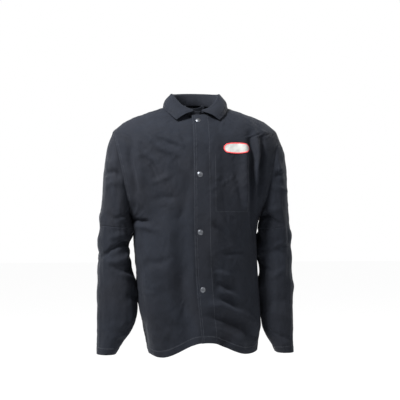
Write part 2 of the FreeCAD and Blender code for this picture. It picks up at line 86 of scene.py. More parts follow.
# Body sections: height, half width, depth in front, depth behind.
BODY = [
    (4, 72, 66, 58), (-4, 102, 75, 69), (-19, 146, 85, 81), (-35, 188, 95, 91),
    (-52, 215, 104, 99), (-74, 238, 113, 106), (-120, 252, 125, 112), (-180, 252, 134, 116),
    (-250, 228, 139, 116), (-318, 187, 141, 115), (-380, 178, 141, 114),
    (-460, 177.5, 140, 113), (-560, 175.5, 139, 114), (-640, 169, 138, 116),
    (-706, 157, 137, 118),
]
# Sleeve sections: outer X and Z, inner X and Z, half depth in front and behind, middle Y.
SLEEVE_HEAD = [
    (238, -74, 187, -318, 78, 67, 0), (254, -122, 187.6, -321, 83, 76, 0),
    (264, -185, 188.2, -325, 84, 79, 0), (269, -250, 189, -331, 80, 77, 0),
    (273, -325, 190, -340, 74, 73, 0), (278, -404, 192, -404, 67, 66, 2),
]
# Forearm sections: outer X, height, inner X right and left, half depths, middle Y.
FOREARM = [
    (281, -460, 184, 191, 65, 62, 0), (283, -510, 172, 191, 63, 60, -4),
    (284, -560, 167, 191.5, 61, 58, -8), (284, -600, 169, 192, 58, 56, -12),
    (284, -640, 184, 198, 53, 51, -16), (284, -675, 209, 216, 46, 45, -20),
    (284, -706, 230, 234, 40, 39, -23),
]
SLEEVE_STEP, SLEEVE_COLUMNS = 7.0, 72  # spacing of the sleeve's rows, and its columns around
HEM_TURN = 20
HEM_STITCHES = [("foot", 20.0), ("foot", 18.2)]
SEAM_EXTRA = 0.9  # a doubled edge is this much thicker


# ---- small numeric helpers ----
def smooth(t):
    t = np.clip(t, 0.0, 1.0)
    return t * t * (3 - 2 * t)


def table(rows, at, column):
    """A column's value at some heights, through the rows by a monotone cubic."""
    rows = np.array(rows, float)[::-1]
    hs, ys = rows[:, 0], rows[:, column]
    slopes = np.diff(ys) / np.diff(hs)
    before, after = slopes[:-1], slopes[1:]
    inner = np.where(before * after > 0, 2 * before * after / (before + after + 1e-12), 0.0)
    m = np.concatenate([slopes[:1], inner, slopes[-1:]])
    at = np.clip(at, hs[0], hs[-1])
    i = np.clip(np.searchsorted(hs, at, side="right") - 1, 0, len(hs) - 2)
    w = hs[i + 1] - hs[i]
    t = (at - hs[i]) / w
    return (
        (2 * t**3 - 3 * t**2 + 1) * ys[i]
        + (t**3 - 2 * t**2 + t) * w * m[i]
        + (3 * t**2 - 2 * t**3) * ys[i + 1]
        + (t**3 - t**2) * w * m[i + 1]
    )


def signed_power(v, p):
    return np.sign(v) * np.abs(v) ** p


def unit(v):
    return v / np.maximum(np.linalg.norm(v, axis=-1, keepdims=True), 1e-12)


def cos_sin(degrees):
    return np.cos(np.radians(degrees)), np.sin(np.radians(degrees))


def lengths(line):
    """Distance along a line of points, from the first one to each."""
    return np.concatenate([[0], np.cumsum(np.linalg.norm(np.diff(line, axis=0), axis=1))])


def at_lengths(s, along, values):
    """Values of a line's points at distances s, where the points lie at distances along."""
    return np.stack([np.interp(s, along, column) for column in values.T], axis=1)


def drift(h):
    return HEM_DRIFT * np.clip((PIT[1] - h) / (PIT[1] - HEM_Z), 0, 1) ** 1.7


def body(bearing, h):
    """Outer face of the body: bearing 0 wearer's left, -90 front, 90 back, 180 right."""
    bearing, h = np.broadcast_arrays(np.asarray(bearing, float), np.asarray(h, float))
    c, s = cos_sin(bearing)
    depth = np.where(s < 0, table(BODY, h, 2), table(BODY, h, 3))
    x = drift(h) + table(BODY, h, 1) * signed_power(c, 2 / BODY_POWER)
    y = depth * signed_power(s, 2 / BODY_POWER)
    dip = np.where(s < 0, -NECK_FRONT_DROP, NECK_BACK_RISE)
    z = h + dip * s * s * np.clip(1 + (h - NECK_H) / NECK_FADE, 0, None)
    front_rise = HEM_RISE * np.abs(s) ** 9 - HEM_CREST * np.exp(-(((x - HEM_CREST_X) / 34) ** 2))
    back_rise = BACK_HEM_RISE * s**4
    rise = SIDE_HEM_RISE * c**4 + np.where(s < 0, front_rise, back_rise)
    return np.stack([x, y, z + rise * smooth((-460 - h) / (-460 - HEM_Z))], axis=-1)


def bearing_of_x(x, h):
    r = np.clip((x - drift(h)) / table(BODY, h, 1), -1, 1)
    return -np.degrees(np.arccos(signed_power(r, BODY_POWER / 2)))


def across_front(x):
    """Edge of a panel that runs down the front at that distance left of the snap line."""
    return lambda h: bearing_of_x(drift(h) + x, h)


def arm_edge(h, inward=0.0):
    """Bearing off the side where the armhole bounds the body; nought along the side seam."""
    share = np.clip((h - TIP[1]) / (PIT[1] - TIP[1]), 0, 1)
    plane_x = TIP[0] + (PIT[0] - TIP[0]) * share - inward
    r = np.clip(plane_x / table(BODY, h, 1), 0, 1)
    edge = np.degrees(np.arccos(r ** (BODY_POWER / 2)))
    inside = (h <= TIP[1]) & (h >= PIT[1])
    return np.where(inside, edge, 0.0)


def left_lift(x, h):
    """Height of the left front over the body surface, above the right front's edge."""
    start = LIFT_FROM + (LIFT_FROM_TOP - LIFT_FROM) * smooth((h - TIP[1]) / (NECK_H - TIP[1]))
    return LIFT * smooth((start - (x - drift(h))) / (start - LIFT_TO))


# ---- grids of cloth ----
class Sheet:
    """A grid of points of one cloth piece with each point's place on the cloth."""

    def __init__(self, points, h=None, closed=False):
        self.points = points
        self.h = h
        self.closed = closed

    def steps(self):
        """Distance along the cloth from the first column and from the first row."""
        p = self.points
        across = np.linalg.norm(np.diff(p, axis=1), axis=2)
        down = np.linalg.norm(np.diff(p, axis=0), axis=2)
        u = np.concatenate([np.zeros((p.shape[0], 1)), np.cumsum(across, axis=1)], axis=1)
        v = np.concatenate([np.zeros((1, p.shape[1])), np.cumsum(down, axis=0)], axis=0)
        return u, v

    def normals(self):
        p = self.points
        if self.closed:
            ring = np.concatenate([p[:, -2:-1], p, p[:, 1:2]], axis=1)
            across = ring[:, 2:] - ring[:, :-2]
        else:
            across = np.gradient(p, axis=1)
        down = np.gradient(p, axis=0)
        return unit(np.cross(down, across))

    def moved(self, amount):
        return Sheet(self.points + self.normals() * amount[..., None], self.h, self.closed)

    def area(self):
        p = self.points
        a, b = p[1:, 1:] - p[:-1, :-1], p[1:, :-1] - p[:-1, 1:]
        return float(np.linalg.norm(np.cross(a, b), axis=2).sum() / 2)


def resample(values, at, axis):
    """Catmull-Rom values at fractional places along one axis."""
    n = values.shape[axis]
    at = np.clip(at, 0, n - 1)
    i = np.clip(np.floor(at).astype(int), 0, n - 2)
    t = (at - i).reshape([-1 if k == axis else 1 for k in range(values.ndim)])
    take = lambda k: np.take(values, np.clip(i + k, 0, n - 1), axis=axis)
    a, b, c, d = take(-1), take(0), take(1), take(2)
    return b + 0.5 * t * (c - a + t * (2 * a - 5 * b + 4 * c - d + t * (3 * (b - c) + d - a)))


def evened(points):
    """The same rows with their points evenly spaced along each row."""
    rows = [(row, lengths(row)) for row in points]
    return np.array([at_lengths(np.linspace(0, a[-1], len(row)), a, row) for row, a in rows])


def heights(step):
    """Section heights from neck to hem, evenly spaced along the cloth, through both corners."""
    out = []
    for high, low in ((NECK_H, TIP[1]), (TIP[1], PIT[1]), (PIT[1], HEM_Z)):
        h = np.linspace(high, low, 400)
        along = lengths(body(-45.0, h))  # down the cloth midway between side and front
        n = max(2, round(along[-1] / step))
        out.append(np.interp(np.linspace(0, along[-1], n + 1), along, h)[(1 if out else 0):])
    return np.concatenate(out)


def body_sheet(lateral, medial, hs, count, lift=0.0):
    """Panel of the body between two edges, with an offset off the body surface."""
    fine = 4 * count
    share = np.linspace(0, 1, fine)
    left, right = lateral(hs)[:, None], medial(hs)[:, None]
    points = evened(body(left + (right - left) * share, hs[:, None]))
    points = resample(points, np.linspace(0, fine - 1, count), 1)
    sheet = Sheet(points, np.repeat(hs[:, None], count, axis=1))
    amount = lift(points[..., 0], sheet.h) if callable(lift) else np.full(sheet.h.shape, lift)
    return sheet.moved(amount)


# ---- folds ----
def perlin(a, b, c, octaves):
    """Smooth noise, about -1 to 1, at every point of three arrays."""
    flat = zip(np.ravel(a), np.ravel(b), np.ravel(np.broadcast_to(c, np.shape(a))))
    values = [noise.fractal(Vector(p), 0.75, 2.1, octaves) for p in flat]
    return np.array(values).reshape(np.shape(a))


def crumple(x, z, scale, seed):
    """Sharp small wrinkles: ridges where two soft noises change sign."""
    a = perlin(x / scale, z / scale, seed, 2)
    b = perlin(x / scale + 9, z / (1.7 * scale), seed + 4, 2)
    ridges = np.exp(-((a / 0.09) ** 2)) * smooth(b * 3)
    return ridges - 0.6 * np.exp(-((b / 0.08) ** 2)) * smooth(a * 3)


def fold(line, height, width, pinch, x, z):
    """A ridge, or a valley where height is negative, along a given line of (X, Z)."""
    best, share = np.full(x.shape, 1e9), np.zeros(x.shape)
    pts = np.array(line, float)
    for k, (a, d) in enumerate(zip(pts, np.diff(pts, axis=0))):
        t = np.clip(((x - a[0]) * d[0] + (z - a[1]) * d[1]) / (d @ d), 0, 1)
        off = np.hypot(x - a[0] - t * d[0], z - a[1] - t * d[1])
        closer = off < best
        best = np.where(closer, off, best)
        share = np.where(closer, (k + t) / (len(pts) - 1), share)
    ends = np.sin(math.pi * np.clip(share * 0.9 + 0.05, 0, 1)) ** 0.7
    r = (best / width) ** 2
    return height * (1 - pinch * r) * np.exp(-r) * ends


# Folds of the front: line of (X, Z), height, width, and how much it pinches up its sides.
FRONT_FOLDS = [
    # the long soft fold that falls to the lowest point of the hem, and the valley beside it
    ([(-150, -400), (-134, -480), (-118, -580), (-104, -706)], 10, 27, 0.2),
    ([(-60, -330), (-50, -480), (-40, -600), (-32, -700)], -11, 32, 0.2),
    ([(-152, -600), (-150, -660), (-146, -706)], -7, 13, 0.0),
    ([(-90, -330), (-82, -420), (-76, -480)], 3.5, 20, 0.0),
    # creases that run from the collar and from the chest towards the armhole
    ([(-112, -92), (-84, -108), (-52, -124)], -4.0, 9, 0.5),
    ([(-118, -118), (-92, -132), (-62, -142)], 3.4, 9, 0.4),
    ([(-150, -150), (-130, -182), (-112, -212)], -4.2, 10, 0.5),
    ([(-84, -196), (-106, -206), (-128, -222)], 2.6, 9, 0.5),
    ([(-150, -76), (-120, -100), (-84, -150), (-60, -180)], 2.6, 12, 0.3),
    ([(-188, -324), (-166, -326), (-136, -332)], -4.4, 7, 0.6),
    ([(-180, -342), (-150, -346), (-120, -352)], 3.0, 9, 0.4),
    ([(-200, -90), (-192, -140), (-184, -200), (-178, -280)], -5, 11, 0.4),
    ([(-172, -96), (-168, -160), (-160, -240)], 4, 13, 0.3),
    # upright folds beside the left armhole
    ([(150, -76), (150, -130), (152, -210), (158, -300), (166, -372)], -8.5, 11, 0.5),
    ([(126, -100), (130, -170), (134, -240), (142, -330)], 4.5, 13, 0.2),
    ([(180, -90), (178, -150), (176, -220), (176, -290)], -8, 10, 0.5),
    ([(168, -80), (166, -150), (166, -230)], 6, 9, 0.2),
    ([(100, -180), (112, -230), (128, -280)], -2.4, 10, 0.4),
    # slanting folds over the wearer's left hip
    ([(10, -560), (60, -566), (110, -586), (168, -626)], 6.5, 13, 0.3),
    ([(14, -590), (66, -598), (120, -622), (166, -656)], -6.5, 11, 0.4),
    ([(30, -628), (80, -640), (130, -664)], 4.2, 12, 0.3),
    ([(44, -498), (72, -508), (104, -522)], -4.4, 8, 0.5),
    ([(52, -522), (84, -532), (112, -548)], 4.4, 8, 0.5),
    ([(58, -548), (84, -558), (108, -574)], -4.2, 8, 0.5),
    ([(40, -470), (66, -478), (92, -486)], 3.6, 8, 0.5),
    ([(28, -330), (60, -352), (84, -392)], -3.6, 10, 0.5),
    ([(46, -300), (70, -336), (92, -380)], 3.0, 11, 0.3),
    ([(60, -420), (96, -410), (130, -420)], -3.2, 9, 0.5),
    ([(24, -420), (44, -470), (54, -530)], -2.8, 11, 0.3),
    ([(-24, -180), (-44, -260), (-50, -360)], -3.2, 18, 0.2),
    ([(-20, -420), (-24, -500), (-26, -600)], 3.0, 14, 0.2),
    ([(24, -96), (30, -180), (28, -270)], -1.6, 12, 0.2),
    ([(110, -640), (122, -672), (126, -706)], 7, 18, 0.2),
    ([(64, -640), (66, -676), (66, -706)], -6, 16, 0.2),
    ([(-60, -250), (-92, -262), (-128, -268)], -2.4, 12, 0.3),
    ([(-84, -430), (-112, -446), (-150, -450)], -3.0, 12, 0.4),
]
# Folds of the back, where the cloth hangs from the shoulder blades.
BACK_FOLDS = [
    ([(-128, -150), (-130, -300), (-122, -470), (-112, -706)], 9, 28, 0.2),
    ([(-64, -260), (-58, -420), (-46, -706)], -8, 26, 0.2),
    ([(4, -220), (10, -420), (24, -706)], 6, 32, 0.1),
    ([(76, -260), (88, -440), (96, -706)], -8, 24, 0.2),
    ([(136, -170), (142, -330), (148, -520), (152, -706)], 9, 24, 0.2),
    ([(-196, -110), (-186, -180), (-176, -280)], -7, 12, 0.4),
    ([(196, -110), (186, -180), (176, -280)], -7, 12, 0.4),
    ([(-170, -330), (-130, -342), (-96, -346)], -4, 9, 0.5),
    ([(172, -340), (136, -350), (100, -346)], -4, 9, 0.5),
    ([(-150, -366), (-110, -372), (-70, -384)], 3, 10, 0.4),
    ([(-120, -76), (-40, -92), (40, -92), (120, -76)], -2.6, 18, 0.2),
    ([(-90, -470), (-50, -480), (0, -474)], -2.6, 12, 0.4),
    ([(40, -540), (80, -548), (120, -540)], 2.6, 12, 0.4),
]
FOLD_DEPTH = 1.9  # the body's folds are deeper than their listed heights by this factor
SNAP_BOXES = [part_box(f"front_snap_{i}_cap") for i in (1, 2, 3, 4)]
SNAP_PLACES = [(a + b) / 2 / MM for a, b in SNAP_BOXES]


def relief(sheet, folds, seed):
    """How far the cloth stands off its pattern: placed folds, soft waves, small wrinkles."""
    x, z = sheet.points[..., 0], sheet.points[..., 2]
    warp_x = x + 7 * perlin(x / 80, z / 80, seed + 20, 2)
    warp_z = z + 7 * perlin(x / 80, z / 80, seed + 30, 2)
    amount = FOLD_DEPTH * sum(fold(*each, warp_x, warp_z) for each in folds)
    amount += 6.0 * perlin(x / 95, z / 260, seed, 2) * smooth((-60 - z) / 140)
    amount += 1.3 * perlin(x / 38, z / 56, seed + 7, 2)
    amount += 2.0 * crumple(x, z, 52, seed + 11) + 1.0 * crumple(x, z, 28, seed + 15)
    return amount


def seam_wave(h, side):
    """Waves of a side seam, the same for the front and the back."""
    waves = 4.5 * perlin(h / 90, h * 0 + side * 5, 2.5, 2)
    return waves * smooth((PIT[1] - 16 - h) / 60)


def with_relief(sheet, folds, seed, sewn, near_snaps):
    """Cloth moved by its folds, which fade at the sewn edges: start and end."""
    u, v = sheet.steps()
    amount = relief(sheet, folds, seed)
    free = smooth(v / 46)
    wave = np.zeros(u.shape)
    for edge, side in zip(("start", "end"), sewn):
        if side:
            d = u if edge == "start" else u[:, -1:] - u
            held = 1 - smooth(d / 34)
            wave += held * seam_wave(sheet.h, side)
            free = free * (1 - held)
    if near_snaps:
        x, z = sheet.points[..., 0], sheet.points[..., 2]
        free = free * (1 - 0.55 * np.exp(-(((x - drift(sheet.h)) / 26) ** 2)))
        for place in SNAP_PLACES:
            free = free * (1 - 0.95 * np.exp(-(((x - place.x) ** 2 + (z - place.z) ** 2) / 400)))
    return sheet.moved(amount * free + wave)


# ---- sleeves ----
def sleeve_rows(side):
    rows = [(*r, 1.0 if k == 0 else 0.0) for k, r in enumerate(SLEEVE_HEAD)]
    for r in FOREARM:
        rows.append((r[0], r[1], r[3] if side > 0 else r[2], r[1], *r[4:], 0.0))
    return rows


def armhole_point(share, in_front, inward=0.0):
    """Point of the left armhole's seam; share runs from the shoulder point to the armpit."""
    h = TIP[1] + (PIT[1] - TIP[1]) * share
    edge = arm_edge(h, inward)
    return body(np.where(in_front, -edge, edge), h)


def sleeve_points(rows, stations, turns):
    """Left sleeve: turn 0 outer side, 90 back, 180 body side, -90 front."""
    s = resample(np.array(rows, float), stations, 0)
    ox, oz, ix, iz, front, behind, mid, sewn = [s[:, k][:, None] for k in range(8)]
    c, q = cos_sin(turns[None, :])
    along = signed_power(c, 2 / SLEEVE_POWER)
    depth = np.where(q < 0, front, behind) * signed_power(q, 2 / SLEEVE_POWER)
    x = (ox + ix) / 2 + (ox - ix) / 2 * along
    z = (oz + iz) / 2 + (oz - iz) / 2 * along
    points = np.stack([x, mid + depth, z], axis=-1)
    ring = armhole_point((1 - along) / 2, q < 0)
    return points + (ring - points) * np.clip(sewn, 0, 1)[..., None]


def sleeve_sheet(side):
    """Whole sleeve as one closed grid, with two rows tucked under the armhole seam."""
    rows = sleeve_rows(side)
    turns = np.linspace(180, 540, SLEEVE_COLUMNS + 1)
    u = np.linspace(0, len(rows) - 1, 500)
    along = lengths(sleeve_points(rows, u, np.array([0.0]))[:, 0])
    n = round(along[-1] / SLEEVE_STEP)
    stations = np.interp(np.linspace(0, along[-1], n + 1), along, u)
    points = sleeve_points(rows, stations, turns)
    c, q = cos_sin(turns)
    share = (1 - signed_power(c, 2 / SLEEVE_POWER)) / 2
    tuck = np.array([armhole_point(share, q < 0, inward) for inward in (9.0, 4.0)])
    centre = np.array([PIT[0] - 60, 0.0, (TIP[1] + PIT[1]) / 2])
    tuck -= unit(tuck - centre) * np.array([2.6, 1.8])[:, None, None]
    return Sheet(np.concatenate([tuck, points], axis=0), closed=True)


# Folds across the sleeves: height, first and last turn, depth, width, pinch. Turn 270 is in
# front, 360 outside and 180 against the body.
RIGHT_SLEEVE_FOLDS = [
    (-206, 236, 345, -7, 9, 0.5), (-226, 230, 330, 4, 10, 0.2), (-150, 240, 350, 3, 13, 0.2),
    (-300, 190, 320, -3.5, 9, 0.5), (-336, 130, 250, 8, 20, 0.0), (-318, 190, 290, 3.0, 10, 0.3),
    (-386, 170, 300, 6, 12, 0.2), (-408, 160, 330, -10, 9, 0.5), (-430, 165, 310, 7, 10, 0.3),
    (-452, 180, 290, -5, 9, 0.5), (-474, 180, 280, 4, 12, 0.2), (-520, 140, 220, 4, 20, 0.0),
    (-560, 180, 260, -4, 14, 0.3), (-610, 200, 300, 3, 16, 0.2), (-640, 200, 330, 3, 10, 0.4),
    (-656, 210, 320, -3.4, 8, 0.5), (-90, 250, 350, -2.4, 9, 0.5), (-366, 135, 225, 11, 22, 0.0),
]
LEFT_SLEEVE_FOLDS = [
    (-205, 220, 350, -7, 9, 0.5), (-188, 220, 350, 5, 9, 0.2), (-226, 230, 340, 4.6, 10, 0.3),
    (-140, 250, 360, 4.6, 11, 0.2), (-158, 240, 350, -4.6, 9, 0.5), (-110, 260, 350, -3, 9, 0.4),
    (-310, 160, 290, 6, 12, 0.2), (-332, 160, 290, -9, 10, 0.5), (-360, 140, 270, 9, 20, 0.0),
    (-396, 190, 330, -6, 8, 0.5), (-412, 180, 320, 6, 12, 0.2), (-434, 190, 300, -5, 9, 0.5),
    (-420, 130, 230, 8, 26, 0.0), (-470, 180, 250, -4, 10, 0.5), (-540, 130, 230, 6, 50, 0.0),
    (-480, 230, 300, 4, 12, 0.2), (-570, 210, 330, -3, 14, 0.4), (-600, 220, 330, 3, 14, 0.2),
    (-646, 200, 320, -4, 9, 0.5), (-664, 210, 300, 3, 9, 0.4), (-392, 135, 225, 8, 20, 0.0),
    (-512, 135, 225, 7, 16, 0.0),
]


def sleeve_relief(sheet, folds, seed):
    """Creases across the sleeve, slanting a little, soft waves and small wrinkles."""
    z = sheet.points[..., 2]
    turn = np.broadcast_to(np.linspace(180, 540, z.shape[1]), z.shape)
    around_x, around_y = 90 * np.array(cos_sin(turn))
    level = z + 8 * perlin(around_x / 70, around_y / 70, z / 90 + seed, 2)
    amount = np.zeros(z.shape)
    for k, (at, first, last, height, width, pinch) in enumerate(folds):
        middle, half = (first + last) / 2, (last - first) / 2
        slant = 16 * np.sin(np.radians(turn * 1.5 + 70 * k))
        r = ((level - at - slant) / width) ** 2
        profile = (1 - pinch * r) * np.exp(-r)
        for shift, share in ((0, 1.0), (175, 0.55), (-360, 1.0), (360, 1.0)):
            away = (turn - middle - shift) / half
            amount += height * share * profile * np.clip(1 - away**2, 0, 1) ** 0.8
    amount += 3.2 * perlin(around_x / 60, around_y / 60, z / 170 + seed, 2)
    amount += 1.1 * perlin(around_x / 28, around_y / 28, z / 50 + seed + 3, 3)
    wrap = np.minimum(turn - 180, 540 - turn) * 1.4
    amount += 0.8 * crumple(wrap + seed * 40, z, 40, seed) * smooth(wrap / 30)
    rows = np.arange(z.shape[0])[:, None]
    cuff = smooth((z - HEM_Z) / 40)
    return amount * smooth((rows - 2) / 7) * (0.35 + 0.65 * cuff)


# ---- meshes ----
# Distances from a seamed edge where the final grid has extra rows or columns.
NEAR_EDGE = (1.2, 2.4, 4.0, 6.0, 8.0, 10.5, 14.0, 18.0, 22.0, 26.0)


def places(count, step, first, last):
    """Fractional places along a grid: half steps, and closer ones near the sewn edges."""
    length = (count - 1) * step
    near = np.array(NEAR_EDGE)
    start = np.concatenate([[0.0], near]) if first else np.array([0.0])
    end = np.concatenate([length - near[::-1], [length]]) if last else np.array([length])
    n = max(2, round((end[0] - start[-1]) / (step / 2)))
    middle = np.linspace(start[-1], end[0], n + 1)[1:-1]
    return np.concatenate([start, middle, end]) / step


def finished(sheet, across, down):
    """The sheet at its final density; the pairs say which edges carry seams."""
    u, v = sheet.steps()
    rows = places(sheet.points.shape[0], float(v[-1].mean()) / (v.shape[0] - 1), *down)
    cols = places(sheet.points.shape[1], float(u[:, -1].mean()) / (u.shape[1] - 1), *across)
    points = resample(resample(sheet.points, rows, 0), cols, 1)
    h = None if sheet.h is None else resample(resample(sheet.h, rows, 0), cols, 1)
    return Sheet(points, h, sheet.closed)


def edge_distances(sheet):
    u, v = sheet.steps()
    return {"start": u, "end": u[:, -1:] - u, "top": v, "foot": v[-1:, :] - v}


def doubled(sheet, widths):
    """Share of the doubled cloth along the edges: 1 inside each edge's width, 0 beyond."""
    away = edge_distances(sheet)
    share = np.zeros(sheet.points.shape[:2])
    for side, width in widths.items():
        share = np.maximum(share, smooth((width + 1.5 - away[side]) / 2.5))
    return share


def with_seams(sheet, widths, rows_of_stitches=()):
    """Doubled edges stand up a little; stitching pulls the cloth in and puckers it."""
    u, v = sheet.steps()
    away = edge_distances(sheet)
    amount = 0.7 * doubled(sheet, widths)
    for side, d in rows_of_stitches:
        off = away[side] - d
        along = v if side in ("start", "end") else u
        amount -= 0.3 * np.exp(-((off / 1.5) ** 2))
        amount += 0.22 * np.sin(along / 2.6 + d) * np.exp(-((off / 5) ** 2))
        amount += 0.3 * np.sin(along / 6.3 + 2 * d) * np.exp(-((off / 7) ** 2))
    return sheet.moved(amount)


def new_object(name, data):
    o = bpy.data.objects.new(name, data)
    bpy.context.scene.collection.objects.link(o)
    return o


def mesh_object(name, verts, faces, cloth):
    """A smooth-shaded mesh from points in millimetres."""
    mesh = bpy.data.meshes.new(name)
    mesh.from_pydata((np.array(verts) * MM).tolist(), [], faces)
    mesh.polygons.foreach_set("use_smooth", [True] * len(faces))
    mesh.materials.append(cloth)
    return new_object(name, mesh)


def cloth_object(name, sheet, cloth, thick, normals=None):
    """Closed thin cloth from a sheet: outer face, inner face and the rims between them."""
    p = sheet.points
    n = sheet.normals() if normals is None else normals
    u, v = sheet.steps()
    width = p.shape[1]
    columns = width - 1 if sheet.closed else width
    thick = np.broadcast_to(thick, p.shape[:2])[..., None]
    outer, inner = p[:, :columns], (p - n * thick)[:, :columns]
    size = p.shape[0] * columns
    co = np.concatenate([outer.reshape(-1, 3), inner.reshape(-1, 3)])
    i, j = np.meshgrid(np.arange(p.shape[0] - 1), np.arange(width - 1), indexing="ij")
    i, j = i.ravel(), j.ravel()

    def quads(wide, right):
        row, below = i * wide, (i + 1) * wide
        return np.stack([row + j, row + right, below + right, below + j], 1)

    quad = quads(columns, (j + 1) % columns if sheet.closed else j + 1)
    place = quads(width, j + 1)
    faces = [quad[:, ::-1], quad + size]
    uvs = [place[:, ::-1], place]

    def rim(a, b, place_a, place_b):
        faces.append(np.stack([a, b, b + size, a + size], 1))
        uvs.append(np.stack([place_a, place_b, place_b, place_a], 1))

    k = np.arange(width - 1)
    k2 = (k + 1) % columns if sheet.closed else k + 1
    rim(k, k2, k, k + 1)
    last, last_place = (p.shape[0] - 1) * columns, (p.shape[0] - 1) * width
    rim(last + k2, last + k, last_place + k + 1, last_place + k)
    if not sheet.closed:
        r = np.arange(p.shape[0] - 1)
        end = columns - 1
        rim((r + 1) * columns, r * columns, (r + 1) * width, r * width)
        rim(r * columns + end, (r + 1) * columns + end, r * width + end, (r + 1) * width + end)
    shown = 2 * len(quad)
    faces, uvs = np.concatenate(faces), np.concatenate(uvs)
    o = mesh_object(name, co, faces.tolist(), cloth)
    layer = o.data.uv_layers.new(name="Cloth")
    flat_uv = np.stack([u.ravel(), v.ravel()], axis=1)
    layer.data.foreach_set("uv", (flat_uv[uvs.ravel()] * MM).ravel())
    o.data.polygons.foreach_set("use_smooth", np.arange(len(faces)) < shown)
    o.data.update()
    return o


# One stitch of unit size, pointed at both ends: along the seam, across it, up.
STITCH_SHAPE = [
    (-0.5, 0, 0), (-0.3, 0.5, 0.1), (-0.3, 0, 0.55), (-0.3, -0.5, 0.1),
    (0.3, 0.5, 0.1), (0.3, 0, 0.55), (0.3, -0.5, 0.1), (0.5, 0, 0),
]
STITCH_FACES = [
    (0, 2, 1), (0, 3, 2), (7, 4, 5), (7, 5, 6), (1, 2, 5, 4), (2, 3, 6, 5),
    (0, 1, 3), (1, 4, 6, 3), (4, 7, 6),
]


def add_stitches(o, lines, yarn, length=3.0, gap=0.7, width=0.9):
    """Adds thread stitches to a cloth object, along lines of (points, normals)."""
    verts, faces = [], []
    for points, normals in lines:
        along = lengths(points)
        middles = np.arange(length / 2, along[-1] - length / 2, length + gap)
        before, after = (at_lengths(middles + d, along, points) for d in (-0.6, 0.6))
        up = unit(at_lengths(middles, along, normals))
        for m, a, q in zip(at_lengths(middles, along, points), unit(after - before), up):
            s = np.cross(q, a)
            base = len(verts)
            verts += [
                m + a * x * length + s * y * width + q * (z * width - 0.05)
                for x, y, z in STITCH_SHAPE
            ]
            faces += [tuple(base + k for k in f) for f in STITCH_FACES]
    stitches = mesh_object(o.name + "_thread", verts, faces, yarn)
    with bpy.context.temp_override(active_object=o, selected_editable_objects=[o, stitches]):
        bpy.ops.object.join()


def line_on(sheet, rows, cols):
    """Points and normals on a sheet at fractional rows and columns."""
    both = np.concatenate([sheet.points, sheet.normals()], axis=2)
    r, c = np.asarray(rows, float), np.asarray(cols, float)
    i = np.clip(r.astype(int), 0, both.shape[0] - 2)
    j = np.clip(c.astype(int), 0, both.shape[1] - 2)
    a, b = (r - i)[..., None], (c - j)[..., None]
    at = (
        both[i, j] * (1 - a) * (1 - b) + both[i + 1, j] * a * (1 - b)
        + both[i, j + 1] * (1 - a) * b + both[i + 1, j + 1] * a * b
    )
    return at[..., :3], at[..., 3:]


def edge_line(sheet, side, distance, margin=2.0):
    """Line at a distance from one edge of a sheet: start, end, top or foot."""
    u, v = sheet.steps()
    n_rows, n_cols = sheet.points.shape[:2]
    if side in ("start", "end"):
        rows = np.arange(n_rows, dtype=float)
        target = [distance if side == "start" else u[k, -1] - distance for k in range(n_rows)]
        cols = np.array([np.interp(t, u[k], np.arange(n_cols)) for k, t in enumerate(target)])
    else:
        cols = np.arange(n_cols, dtype=float)
        target = [distance if side == "top" else v[-1, k] - distance for k in range(n_cols)]
        rows = np.array([np.interp(t, v[:, k], np.arange(n_rows)) for k, t in enumerate(target)])
    points, normals = line_on(sheet, rows, cols)
    along = lengths(points)
    kept = (along >= margin) & (along <= along[-1] - margin)
    return points[kept], normals[kept]


def laid_on(sheet, x, z):
    """Points and normals on a sheet where it passes those X and Z."""
    px, pz = sheet.points[..., 0], sheet.points[..., 2]
    rows, cols = np.zeros(np.shape(x)), np.zeros(np.shape(x))
    for k in np.ndindex(np.shape(x)):
        i, j = np.unravel_index(np.argmin((px - x[k]) ** 2 + (pz - z[k]) ** 2), px.shape)
        i, j = np.clip(i, 1, px.shape[0] - 2), np.clip(j, 1, px.shape[1] - 2)
        slopes = np.array([
            [px[i + 1, j] - px[i - 1, j], px[i, j + 1] - px[i, j - 1]],
            [pz[i + 1, j] - pz[i - 1, j], pz[i, j + 1] - pz[i, j - 1]],
        ]) / 2
        step = np.linalg.solve(slopes, [x[k] - px[i, j], z[k] - pz[i, j]])
        rows[k], cols[k] = i + np.clip(step[0], -1, 1), j + np.clip(step[1], -1, 1)
    return line_on(sheet, rows, cols)


def path_on(sheet, corners):
    """Points and normals along straight runs between (X, Z) corners laid on a sheet."""
    corners = np.array(corners, float)
    along = lengths(corners)
    return laid_on(sheet, *at_lengths(np.arange(0, along[-1], 3.0), along, corners).T)


# ---- materials ----
def material(name, colour, rough, metal=0.0, sheen=0.0, specular=0.5):
    m = bpy.data.materials.new(name)
    m.use_nodes = True
    values = {
        "Base Color": (*colour, 1), "Roughness": rough, "Metallic": metal,
        "Specular IOR Level": specular, "Sheen Weight": sheen, "Sheen Roughness": 0.5,
        "Sheen Tint": (0.62, 0.68, 0.85, 1),
    }
    for key, value in values.items():
        m.node_tree.nodes["Principled BSDF"].inputs[key].default_value = value
    return m


def add_node(m, kind, inputs=None, **settings):
    """Adds a node, sets its attributes, and sets or links its inputs."""
    n = m.node_tree.nodes.new(kind)
    for key, value in settings.items():
        setattr(n, key, value)
    for key, value in (inputs or {}).items():
        if isinstance(value, bpy.types.NodeSocket):
            m.node_tree.links.new(value, n.inputs[key])
        else:
            n.inputs[key].default_value = value
    return n


def sums(m, operation, *values):
    return add_node(m, "ShaderNodeMath", dict(enumerate(values)), operation=operation).outputs[0]


def set_input(m, name, value):
    m.node_tree.links.new(value, m.node_tree.nodes["Principled BSDF"].inputs[name])


def bumped(m, height, strength, distance):
    inputs = {"Strength": strength, "Distance": distance, "Height": height}
    set_input(m, "Normal", add_node(m, "ShaderNodeBump", inputs).outputs[0])


